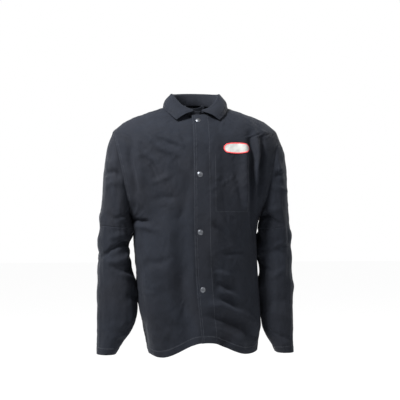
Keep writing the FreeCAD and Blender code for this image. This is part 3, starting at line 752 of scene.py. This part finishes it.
def noise_of(m, vector, scale, detail, stretch=(1, 1, 1)):
    inputs = {"Vector": vector, "Scale": stretch}
    mapped = add_node(m, "ShaderNodeMapping", inputs).outputs[0]
    inputs = {"Vector": mapped, "Scale": scale, "Detail": detail}
    return add_node(m, "ShaderNodeTexNoise", inputs).outputs[0]


def ranged(m, value, low, high, to_low, to_high):
    inputs = {
        "Value": value, "From Min": low, "From Max": high, "To Min": to_low, "To Max": to_high
    }
    return add_node(m, "ShaderNodeMapRange", inputs).outputs[0]


def mixed(m, factor, first, second):
    inputs = {"Factor": factor, "A": first, "B": second}
    return add_node(m, "ShaderNodeMix", inputs, data_type="RGBA").outputs["Result"]


def twill(name, dark, light, warm, rough=0.86, pitch=0.9):
    """Woven twill: slanting ribs, yarns across them, slubs, lint and slow changes of shade."""
    m = material(name, light, rough, sheen=0.015, specular=0.05)
    uv = add_node(m, "ShaderNodeUVMap", uv_map="Cloth").outputs[0]
    split = add_node(m, "ShaderNodeSeparateXYZ", {0: uv})
    u, v = split.outputs[0], split.outputs[1]
    per_rib = 2 * math.pi / (pitch * MM)
    slant = sums(m, "ADD", sums(m, "MULTIPLY", u, 0.82), sums(m, "MULTIPLY", v, 0.57))
    rib = sums(m, "SINE", sums(m, "MULTIPLY", slant, per_rib))
    yarn = sums(m, "SINE", sums(m, "MULTIPLY", u, per_rib * 1.6))
    weave = sums(m, "ADD", sums(m, "MULTIPLY", rib, 0.7), sums(m, "MULTIPLY", yarn, 0.3))
    slub = noise_of(m, uv, 1.0, 3.0, (900, 110, 1))
    cloud = noise_of(m, uv, 9.0, 5.0)
    faded = noise_of(m, uv, 34.0, 6.0)
    warmth = noise_of(m, uv, 4.0, 2.0)
    lint = noise_of(m, uv, 420.0, 2.0)
    shade = sums(m, "MULTIPLY_ADD", weave, 0.13, 0.34)
    for pattern, share in ((slub, 0.55), (cloud, 0.35), (faded, 0.35)):
        change = sums(m, "MULTIPLY", sums(m, "SUBTRACT", pattern, 0.5), share)
        shade = sums(m, "ADD", shade, change)
    shade = sums(m, "ADD", shade, ranged(m, lint, 0.70, 0.76, 0.0, 0.5))
    tone = mixed(m, ranged(m, warmth, 0.42, 0.62, 0.0, 0.5), (*light, 1), (*warm, 1))
    set_input(m, "Base Color", mixed(m, shade, (*dark, 1), tone))
    set_input(m, "Roughness", ranged(m, faded, 0.3, 0.7, rough - 0.1, min(1.0, rough + 0.1)))
    bumped(m, sums(m, "ADD", weave, sums(m, "MULTIPLY", slub, 0.8)), 0.3, 0.0003)
    return m


def plated(name, colour, rough):
    """Plated metal with duller patches, fine scratches and darker specks."""
    m = material(name, colour, rough, metal=1.0)
    place = add_node(m, "ShaderNodeTexCoord").outputs["Object"]
    spots = noise_of(m, place, 320.0, 4.0)
    scratches = noise_of(m, place, 900.0, 3.0, (1, 1, 0.15))
    dull = tuple(0.45 * c for c in colour)
    clean = ranged(m, spots, 0.35, 0.65, 0.0, 1.0)
    set_input(m, "Base Color", mixed(m, clean, (*dull, 1), (*colour, 1)))
    set_input(m, "Roughness", ranged(m, spots, 0.3, 0.7, rough + 0.2, rough - 0.08))
    bumped(m, scratches, 0.2, 0.0002)
    return m


def yarn_material(name, colour, specular=0.4):
    """Sewing thread: ply twist as bump and a little change of shade."""
    m = material(name, colour, 0.6, sheen=0.05, specular=specular)
    place = add_node(m, "ShaderNodeTexCoord").outputs["Object"]
    ply = noise_of(m, place, 1800.0, 2.0)
    darker = tuple(0.6 * c for c in colour)
    set_input(m, "Base Color", mixed(m, ply, (*darker, 1), (*colour, 1)))
    bumped(m, ply, 0.4, 0.0002)
    return m


shell = twill(
    "shell_twill", (0.002, 0.0024, 0.0036), (0.0125, 0.0145, 0.0195), (0.013, 0.0128, 0.0147)
)
inside = twill(
    "inner_twill", (0.003, 0.0034, 0.0046), (0.0165, 0.0185, 0.024), (0.0165, 0.016, 0.018), 0.92
)
white_twill = twill(
    "white_twill", (0.16, 0.16, 0.155), (0.28, 0.28, 0.27), (0.27, 0.265, 0.25), 0.8, 0.7
)
tape = twill(
    "woven_tape", (0.03, 0.031, 0.034), (0.075, 0.076, 0.08), (0.07, 0.068, 0.066), 0.8, 0.6
)
thread = yarn_material("thread", (0.013, 0.0145, 0.019), 0.2)
red_thread = yarn_material("red_thread", (0.42, 0.018, 0.02))
grey_thread = yarn_material("grey_thread", (0.2, 0.2, 0.2))
gunmetal = plated("gunmetal", (0.085, 0.09, 0.1), 0.4)
nickel = plated("nickel", (0.5, 0.49, 0.47), 0.3)


# ---- body panels ----
HEIGHTS = heights(8.0)
JOINTS = {j["name"]: j for j in frame["joints"]}


def front_stitches(opening, side):
    """Rows of stitches of a front panel: the edge and the distance from it."""
    edges = [(side, 2.5), (side, 8.5), ("top", 3.0)]
    return [(opening, 2.0), (opening, 8.0), *HEM_STITCHES, *edges]


def take_place(o, body_name, *nodes):
    """The piece is shown in place of those CAD nodes and moves with their body."""
    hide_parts(*nodes)
    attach(o, body_name)


def declare(sheet):
    """Steps and area of a cloth piece's flat cut, measured before it was creased; the results are
    not kept.
    """
    u, v = sheet.steps()
    sheet.area() * MM * MM


def bend_with_front(o):
    """Bakes the front piece's transform into its mesh; the hinge line and the direction across it
    are worked out but not used.
    """
    hinge = JOINTS["left_front_open"]
    middle, axis = np.array(hinge["pos_m"]), np.array(hinge["axis"])
    across = unit(np.cross(axis, np.array([0.0, 1.0, 0.0])))
    across = across if across[0] < 0 else -across
    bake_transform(o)


def make_panel(name, lateral, medial, count, folds, seed, sewn, lift, widths, stitches, near_snaps):
    flat = body_sheet(lateral, medial, HEIGHTS, count, lift)
    hung = with_relief(flat, folds, seed, sewn, near_snaps)
    fine = with_seams(finished(hung, (True, True), (True, True)), widths, stitches)
    thick = CLOTH + SEAM_EXTRA * doubled(fine, widths)
    o = cloth_object(name, fine, shell, thick)
    add_stitches(o, [edge_line(fine, side, d) for side, d in stitches], thread)
    declare(flat)
    return o, fine


def make_facing(name, panel, opening):
    """Folded inner layer of a front edge, cut from the panel's own grid."""
    away = edge_distances(panel)[opening].mean(axis=0)
    last = int(np.argmin(np.abs(away - FACING_WIDTH)))
    cols = slice(2, last + 1) if opening == "start" else slice(last, -2)
    layer = Sheet(panel.points[4:-4, cols])
    under = layer.moved(np.full(layer.points.shape[:2], -CLOTH - 1.2))
    o = cloth_object(name, under, inside, 0.8)
    declare(layer)
    return o


left_panel, left_sheet = make_panel(
    "left_front_cloth", across_front(-OVERLAP), lambda h: -arm_edge(h), 46, FRONT_FOLDS, 3.0,
    (0, 1), left_lift, {"start": 8, "foot": HEM_TURN}, front_stitches("start", "end"), True,
)
POCKET_X, POCKET_Z = (44.0, 138.0), (-140.0, -300.0)
pocket_outline = [(POCKET_X[i], POCKET_Z[j]) for i, j in ((0, 0), (0, 1), (1, 1), (1, 0))]
add_stitches(left_panel, [path_on(left_sheet, pocket_outline)], thread)
add_stitches(left_panel, [edge_line(left_sheet, "start", FACING_WIDTH, 6.0)], thread)
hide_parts("left_front_side", "left_front_flap")
bend_with_front(left_panel)
left_facing = make_facing("left_facing_cloth", left_sheet, "start")
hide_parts("left_facing_top", "left_facing_flap")
bend_with_front(left_facing)

right_panel, right_sheet = make_panel(
    "right_front_cloth", lambda h: -180 + arm_edge(h), across_front(OVERLAP), 46, FRONT_FOLDS,
    3.0, (-1, 0), 0.0, {"end": 8, "foot": HEM_TURN}, front_stitches("end", "start"), True,
)
take_place(right_panel, "torso", "right_front_panel")

back_panel, back_sheet = make_panel(
    "back_cloth", arm_edge, lambda h: 180 - arm_edge(h), 80, BACK_FOLDS, 13.0, (1, -1), 0.0,
    {"foot": HEM_TURN, "start": 8, "end": 8},
    [*HEM_STITCHES, ("start", 2), ("start", 8), ("end", 2), ("end", 8), ("top", 3)],
    False,
)
take_place(back_panel, "torso", "back_panel")
right_facing = make_facing("right_facing_cloth", right_sheet, "end")
take_place(right_facing, "torso", "right_front_facing")


# ---- sleeves as cloth ----
CUT_Z = -350.0
CUFF_TOP, CUFF_TURNS, CUFF_ROOT = -648.0, (50, 150), 14  # the overlap, and its raised root
CUFF_BAND = 22


def mirrored(sheet):
    return Sheet((sheet.points * MIRROR)[:, ::-1], closed=sheet.closed)


def make_sleeve(side, prefix, folds, seed):
    """A sleeve in an upper and a lower piece, which share a row of points where they meet."""
    base = sleeve_sheet(side)
    raised = base.moved(sleeve_relief(base, folds, seed))
    rows = places(raised.points.shape[0], SLEEVE_STEP, False, True)
    cols = np.linspace(0, raised.points.shape[1] - 1, 2 * raised.points.shape[1] - 1)
    fine = Sheet(resample(resample(raised.points, rows, 0), cols, 1), closed=True)
    fine = with_seams(fine, {"foot": HEM_TURN}, HEM_STITCHES)
    if side < 0:
        fine, base = mirrored(fine), mirrored(base)
    normals = fine.normals()
    inner_line = fine.points[:, 0 if side > 0 else -1, 2]
    cut = int(np.argmin(np.abs(inner_line - CUT_Z)))
    base_cut = int(np.argmin(np.abs(base.points[:, 0, 2] - CUT_Z)))
    pieces = {
        "sleeve_top": (slice(0, cut + 1), slice(0, base_cut + 1), "sleeve_upper"),
        "sleeve_foot": (slice(cut, None), slice(base_cut, None), "sleeve_lower"),
    }
    for name, (part, flat_part, cad) in pieces.items():
        sheet = Sheet(fine.points[part], closed=True)
        thick = CLOTH + SEAM_EXTRA * doubled(sheet, {"foot": HEM_TURN}) * (name == "sleeve_foot")
        o = cloth_object(f"{prefix}_{name}", sheet, shell, thick, normals[part])
        if name == "sleeve_foot":
            add_stitches(o, [edge_line(sheet, edge, d) for edge, d in HEM_STITCHES], thread)
        flat = Sheet(base.points[flat_part], closed=True)
        declare(flat)
        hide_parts(f"{prefix}_{cad}")
        if name == "sleeve_top":
            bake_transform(o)
        else:
            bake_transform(o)
    make_cuff(side, prefix, fine, normals)


def make_cuff(side, prefix, fine, normals):
    """Hem band inside the sleeve's end, and the overlap that the snap closes."""
    away = edge_distances(fine)["foot"].mean(axis=1)
    band = slice(int(np.argmin(np.abs(away - CUFF_BAND))), -1)
    under = Sheet(fine.points[band] - normals[band] * (CLOTH + 1.1), closed=True)
    o = cloth_object(f"{prefix}_hem_band", under, inside, 0.7, normals[band])
    declare(Sheet(fine.points[band], closed=True))
    take_place(o, f"{prefix}_forearm", f"{prefix}_cuff_hem")

    turns = np.linspace(180, 540, fine.points.shape[1])[::side]
    rear = np.where(turns > 360, turns - 360, turns)
    near = np.where((rear >= CUFF_TURNS[0]) & (rear <= CUFF_TURNS[1]))[0]
    rows = slice(int(np.argmin(np.abs(fine.points[:, near[0], 2] - CUFF_TOP))), None)
    part = (rows, slice(near[0], near[-1] + 1))
    stands_off = 1.0 + 4.4 * smooth((CUFF_TURNS[1] - rear[part[1]]) / CUFF_ROOT)[None, :]
    lay = Sheet(fine.points[part] + normals[part] * stands_off[..., None])
    edges = ("top", "end", "start")
    lay = with_seams(lay, dict.fromkeys(edges, 6), [(edge, 5.0) for edge in edges])
    o = cloth_object(f"{prefix}_cuff_overlap", lay, shell, 1.5)
    sides = ("top", "end") if side > 0 else ("top", "start")
    lines = [edge_line(lay, s, 5.0) for s in sides] + [edge_line(lay, "foot", 4.0)]
    add_stitches(o, lines, thread)
    declare(Sheet(fine.points[part]))
    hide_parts(f"{prefix}_cuff_fold")
    joint = JOINTS[f"{prefix}_cuff_open"]
    at = np.array(joint["pos_m"])
    towards = (lay.points[lay.points.shape[0] // 2, -1 if side > 0 else 0] * MM) - at
    axis = unit(np.array(joint["axis"]))
    towards = unit(towards - axis * (towards @ axis))
    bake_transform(o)


make_sleeve(1, "left", LEFT_SLEEVE_FOLDS, 5.0)
make_sleeve(-1, "right", RIGHT_SLEEVE_FOLDS, 9.0)


# ---- collar ----
ROLL_SIDE_Z, ROLL_BACK_Z, ROLL_FRONT_Z = 37.0, 42.0, -14.0
COLLAR_POINT = np.array([61.5, -85.0, -40.0])
COLLAR_SIDE = np.array([92.0, 0.0, 0.0])
COLLAR_BEND = np.array([92.0, -58.0, -10.0])  # pulls the lower edge out between side and point
COLLAR_END, STAND_LAP = -82.0, -100.0


def roll_line(b):
    """Fold line of the collar at a bearing, where the stand turns over into the fall."""
    s = np.sin(np.radians(b))
    z = ROLL_SIDE_Z + (np.where(s < 0, ROLL_FRONT_Z, ROLL_BACK_Z) - ROLL_SIDE_Z) * s * s
    base = body(b, NECK_H)
    inward = np.where(s >= 0, 0.94, 0.94 + 0.12 * s * s)
    return np.stack([base[..., 0] * inward, base[..., 1] * inward, z], axis=-1)


def fall_edge(b):
    """Lower edge of the fall, which runs out straight to the collar point in front."""
    c, s = cos_sin(b)
    behind = np.stack([COLLAR_SIDE[0] * c, 86 * s, COLLAR_SIDE[2] + 6 * s * s], axis=-1)
    t = np.clip(b / COLLAR_END, 0, 1)[..., None]
    front = (1 - t) ** 2 * COLLAR_SIDE + 2 * t * (1 - t) * COLLAR_BEND + t * t * COLLAR_POINT
    return np.where((s >= 0)[..., None], behind, front)


def outward(b):
    return np.stack([*cos_sin(b), 0 * b], axis=-1)


def fall_surface(bearings, count):
    """From inside the fold line, over it in a round roll, and down to the edge."""
    roll, out, edge = roll_line(bearings), outward(bearings), fall_edge(bearings)
    up = np.array([0.0, 0.0, 1.0])
    root = roll + out * 5.2 - up * 2.2
    rows = [roll - out * 1.5 - up * 7, roll - out * 1.6 - up * 2, roll - out * 0.2 + up * 1.2]
    rows += [roll + out * 2.6 + up * 0.9, root]
    for t in np.linspace(0, 1, 7)[1:]:
        bulge = 4.2 * math.sin(math.pi * t)
        rows.append(root + (edge - root) * t + (out + 0.6 * up) * bulge)
    rows = np.array(rows)
    return Sheet(resample(rows, np.linspace(0, len(rows) - 1, count), 0))


def collar_relief(sheet, seed):
    p = sheet.points
    u, v = sheet.steps()
    waves = 1.5 * perlin(p[..., 0] / 40, p[..., 1] / 40, p[..., 2] / 40 + seed, 2)
    return sheet.moved((waves + 0.4 * perlin(u / 14, v / 14, seed, 2)) * smooth((v - 6) / 16))


def make_fall(side, prefix, *nodes):
    """Half of the fall, from the collar point round to the middle of the back."""
    bearings = np.linspace(COLLAR_END, 90, 56)
    base = fall_surface(bearings, 22)
    if side > 0:
        base = Sheet(base.points[:, ::-1])
    else:
        base = Sheet(base.points * MIRROR)
    front = "end" if side > 0 else "start"
    stitches = [("foot", 2.0), ("foot", 7.0), (front, 2.0), (front, 7.0)]
    fine = finished(collar_relief(base, 2.0), (side < 0, side > 0), (False, True))
    fine = with_seams(fine, {"foot": 8, front: 8}, stitches)
    o = cloth_object(f"{prefix}_collar_fall", fine, shell, 1.8)
    add_stitches(o, [edge_line(fine, e, d, 4.0) for e, d in stitches], thread)
    declare(base)
    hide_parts(*nodes)
    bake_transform(o)


def make_stand():
    """Band round the neck, whose left end laps over its right end in front."""
    bearings = np.linspace(STAND_LAP, 268, 130)
    lap = 4.0 * smooth((-78 - bearings) / 10)[:, None]
    foot = body(bearings, NECK_H) + outward(bearings) * (lap - 1.2) - np.array([0, 0, 5.0])
    top = roll_line(bearings) + outward(bearings) * (lap - 2.6) - np.array([0, 0, 1.0])
    share = np.linspace(0, 1, 14)[:, None, None]
    grid = top + (foot - top) * share - outward(bearings) * (2.0 * np.sin(math.pi * share))
    base = Sheet(grid)
    fine = finished(base, (True, True), (False, True))
    fine = with_seams(fine, {}, [("foot", 6.0), ("foot", 12.0)])
    o = cloth_object("collar_stand_cloth", fine, inside, 1.6)
    add_stitches(o, [edge_line(fine, "foot", 7.0)], thread)
    declare(base)
    take_place(o, "torso", "collar_stand")


make_stand()
make_fall(1, "left", "left_collar_point", "collar_fall")
make_fall(-1, "right", "right_collar_point")


# ---- small pieces ----
BADGE_MIDDLE, BADGE_HALF = (106.0, -121.0), (36.0, 14.0)
WHIP_STEP, WHIP_SIDES = 0.42, 10  # spacing and sides of the rings of the badge's border


def around_edge(values):
    """Values of a grid's edge in order, from the first corner round to the one before it."""
    return np.concatenate([values[0], values[1:, -1], values[-1, -2::-1], values[-2:0:-1, 0]])


def make_badge():
    """Blank oval badge of white twill with a whipped red border."""
    s = np.linspace(-1, 1, 33)
    gu, gv = np.meshgrid(s, -s)
    x = BADGE_MIDDLE[0] + BADGE_HALF[0] * gu * np.sqrt(1 - gv**2 / 2.6)
    z = BADGE_MIDDLE[1] + BADGE_HALF[1] * gv * np.sqrt(1 - gu**2 / 2.6)
    points, normals = laid_on(left_sheet, x, z)
    face = Sheet(points + normals * 1.5)
    o = cloth_object("chest_badge", face, white_twill, 1.2)
    declare(face)
    take_place(o, "torso", "chest_patch")
    ring, lift = (around_edge(v) for v in (face.points, normals))
    ring, lift = np.concatenate([ring, ring[:1]]), np.concatenate([lift, lift[:1]])
    along = lengths(ring)
    count = int(along[-1] / WHIP_STEP)
    s = np.linspace(0, along[-1], count, endpoint=False)
    line, up = at_lengths(s, along, ring), unit(at_lengths(s, along, lift))
    ahead = unit(np.roll(line, -1, axis=0) - np.roll(line, 1, axis=0))
    across = np.cross(up, ahead)
    verts, faces, sides = [], [], WHIP_SIDES
    for k in range(count):
        size = 1.25 + 0.22 * (k % 3 == 1) + 0.08 * math.sin(k * 0.7)
        for j in range(sides):
            a = 2 * math.pi * j / sides
            slant = 0.5 * math.sin(a)
            verts.append(
                line[k] + ahead[k] * slant + across[k] * size * 1.2 * math.cos(a)
                + up[k] * (size * 0.62 * math.sin(a) - 0.35)
            )
            n, m = (k + 1) % count, (j + 1) % sides
            faces.append((k * sides + j, n * sides + j, n * sides + m, k * sides + m))
    border = mesh_object("chest_badge_border", verts, faces, red_thread)
    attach(border, "torso")


def make_pocket():
    """Cloth of the inner pocket, open at its top and sewn to the front along the outline."""
    gx, gz = np.meshgrid(np.linspace(*POCKET_X, 26), np.linspace(*POCKET_Z, 36))
    points, normals = laid_on(left_sheet, gx, gz)
    across = (gx - POCKET_X[0]) / (POCKET_X[1] - POCKET_X[0])
    up = (gz - POCKET_Z[1]) / (POCKET_Z[0] - POCKET_Z[1])
    room = 11 * np.sin(math.pi * across) * smooth(up * 2.5)
    base = Sheet(points - normals * (CLOTH + 0.5 + room)[..., None])
    o = cloth_object("pocket_cloth", base, inside, 0.8)
    add_stitches(o, [edge_line(base, "top", 8.0)], thread)
    declare(base)
    take_place(o, "torso", "inner_pocket")


def make_label(name, x, z, node_name):
    """Blank woven label sewn flat to the inside of the back, with turned ends."""
    gx, gz = np.meshgrid(np.linspace(*x, 22), np.linspace(*z, 16))
    points, normals = laid_on(back_sheet, gx, gz)
    base = Sheet(points - normals * (CLOTH + 0.3))
    face = with_seams(base, {"top": 4, "foot": 4}, [("top", 2.0), ("foot", 2.0)])
    flipped = Sheet((face.points - normals * 0.8)[:, ::-1])
    o = cloth_object(name, flipped, tape, 0.7)
    lines = [edge_line(flipped, e, 1.6) for e in ("top", "foot", "start", "end")]
    add_stitches(o, lines, grey_thread, 2.2, 0.6, 0.6)
    declare(base)
    take_place(o, "torso", node_name)


def make_hanger_loop():
    """Folded tape that hangs in an arc inside the back of the neck, sewn at both ends."""
    low, high = (np.array(corner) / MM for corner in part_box("hanger_loop"))
    s = np.linspace(-1, 1, 48)
    x = (low[0] + high[0]) / 2 + (high[0] - low[0] - 6) / 2 * np.sin(s * math.pi / 2 * 0.98)
    drop = np.cos(s * math.pi / 2) ** 0.9
    y = high[1] - 1.5 - (high[1] - low[1] - 3) * drop
    z = high[2] - 3 - (high[2] - low[2] - 5) * drop
    line = np.stack([x, y, z], axis=-1)
    ahead = unit(np.gradient(line, axis=0))
    wide = unit(np.cross(ahead, np.array([0.0, 1.0, 0.4])))
    base = Sheet(line[None] + wide[None] * np.linspace(-5.4, 5.4, 9)[:, None, None])
    o = cloth_object("loop_tape", base, inside, 1.2)
    add_stitches(o, [edge_line(base, e, 1.2) for e in ("top", "foot")], thread, 2.2, 0.6, 0.6)
    declare(base)
    take_place(o, "torso", "hanger_loop")


make_badge()
make_pocket()
make_label("neck_label_cloth", (27, -27), (6, -18), "neck_label")
make_label("care_label_cloth", (-132, -110), (-560, -620), "care_label")
make_hanger_loop()

# ---- snaps ----
for name, o in frame["nodes"].items():
    if "snap" in name:
        o.data.materials.clear()
        o.data.materials.append(nickel if "socket" in name or "post" in name else gunmetal)
        o.data.polygons.foreach_set("use_smooth", [True] * len(o.data.polygons))
        o.data.set_sharp_from_angle(angle=math.radians(35))


# ---- floor, light, camera ----
FLOOR_Z = -1.45
# Lamps: place from the middle of the jacket, size of the square, power.
LAMPS = {
    "key": ((-1.0, -0.85, 1.5), 0.4, 190), "fill": ((1.9, -2.0, 1.0), 1.6, 30),
    "rim": ((2.2, 1.6, 1.4), 1.2, 90), "back_fill": ((-1.6, 2.2, 0.4), 1.8, 40),
}
CAMERA_AIM = Vector((0.0145, 0.0, -0.267))
CAMERA_TURN, CAMERA_AWAY, VIEW_WIDTH = -6.0, 3.6, 1.16
SENSOR = 36


def make_stage():
    centre = (cad_low + cad_high) / 2
    bpy.ops.mesh.primitive_plane_add(size=40, location=(0, 0, FLOOR_Z))
    floor = bpy.context.object
    floor.name = "floor"
    floor.data.materials.append(material("pale_floor", (0.97, 0.97, 0.97), 0.9, specular=0.0))
    world = bpy.data.worlds.new("studio")
    world.use_nodes = True
    background = world.node_tree.nodes["Background"]
    background.inputs["Color"].default_value = (1, 1, 1, 1)
    background.inputs["Strength"].default_value = 1.0
    bpy.context.scene.world = world
    for name, (place, size, power) in LAMPS.items():
        data = bpy.data.lights.new(name, "AREA")
        data.size, data.energy = size, power
        lamp = new_object(name, data)
        lamp.location = centre + Vector(place)
        lamp.rotation_euler = (centre - lamp.location).to_track_quat("-Z", "Y").to_euler()


def make_camera():
    data = bpy.data.cameras.new("camera")
    data.sensor_width = SENSOR
    data.lens = SENSOR * CAMERA_AWAY / VIEW_WIDTH
    turn = math.radians(CAMERA_TURN)
    back = Vector((math.sin(turn), -math.cos(turn), 0.0))
    cam = new_object("camera", data)
    cam.location = CAMERA_AIM + back * CAMERA_AWAY
    cam.rotation_euler = (-back).to_track_quat("-Z", "Y").to_euler()
    bpy.context.scene.camera = cam


make_stage()
make_camera()
bpy.context.scene.view_settings.view_transform = "Standard"
